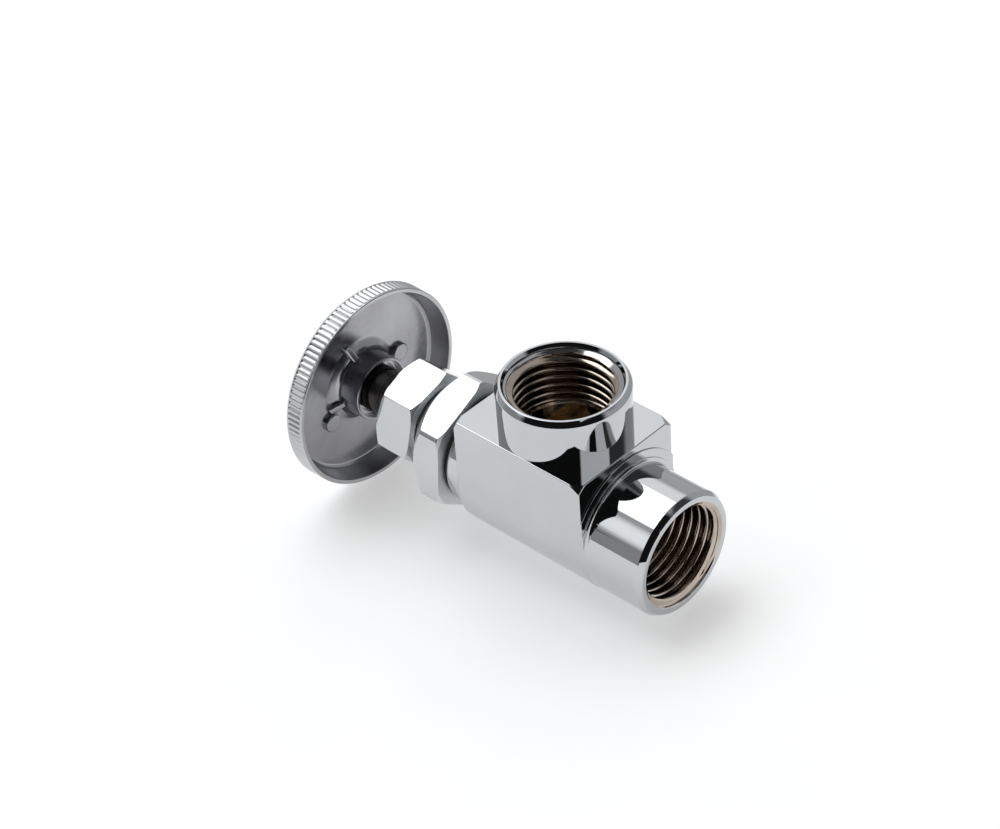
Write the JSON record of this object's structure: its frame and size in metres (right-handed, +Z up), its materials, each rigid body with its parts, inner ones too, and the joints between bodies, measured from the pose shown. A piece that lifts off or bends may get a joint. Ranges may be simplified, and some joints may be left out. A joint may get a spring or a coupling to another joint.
{
  "type": "angle stop valve",
  "caption": "Chromed brass angle stop valve: square-shouldered body, inlet and outlet pipe-thread ports at right angles, packed screw stem and round reeded wheel handle.",
  "frame": {"origin": "bottom centre of the valve's box as it lies on a level surface, on its handle rim and its inlet boss", "axes": "+Z up; +X level, from the handle towards the inlet port; the stem and inlet axis leans 5.84 degrees down towards +X; -Y is the side with the flat front face seen in use"},
  "size_m": [0.0878, 0.042, 0.0433],
  "materials": {
    "chrome": "bright chrome plate over polished brass",
    "cast_plate": "chrome plate over die cast metal, bright rim and duller hollow back",
    "brass": "machined brass",
    "stem_brass": "dark nickelled brass, turned",
    "steel": "plated steel",
    "graphite": "graphited braided packing",
    "rubber": "moulded rubber",
    "fibre": "black vulcanised fibre"
  },
  "bodies": {
    "body": {"valve_body": "chrome", "bonnet": "chrome", "bonnet_gasket": "fibre", "packing_nut": "chrome", "packing_gland": "brass", "packing_washer": "brass", "packing_ring_1": "graphite", "packing_ring_2": "graphite", "packing_ring_3": "graphite"},
    "washer_carrier": {"disc_holder": "brass", "disc_snap_ring": "steel", "seat_washer": "rubber", "washer_screw": "brass"},
    "stem_and_handle": {"stem": "stem_brass", "handle": "cast_plate", "handle_screw": "steel", "handle_screw_washer": "steel"}
  },
  "joints": [
    {"name": "stem_travel", "type": "slide", "parent": "body", "child": "washer_carrier", "axis": [-0.9948, 0, 0.1018], "range_m": [-0.006, 0]},
    {"name": "handle_turn", "type": "hinge", "parent": "washer_carrier", "child": "stem_and_handle", "pos_m": [-0.02491, 0, 0.01983], "axis": [-0.9948, 0, 0.1018], "range_deg": [-1080, 0]}
  ],
  "couplings": [
    {"joint": "handle_turn", "follows": "stem_travel", "rad_per_m": 3141.6}
  ]
}
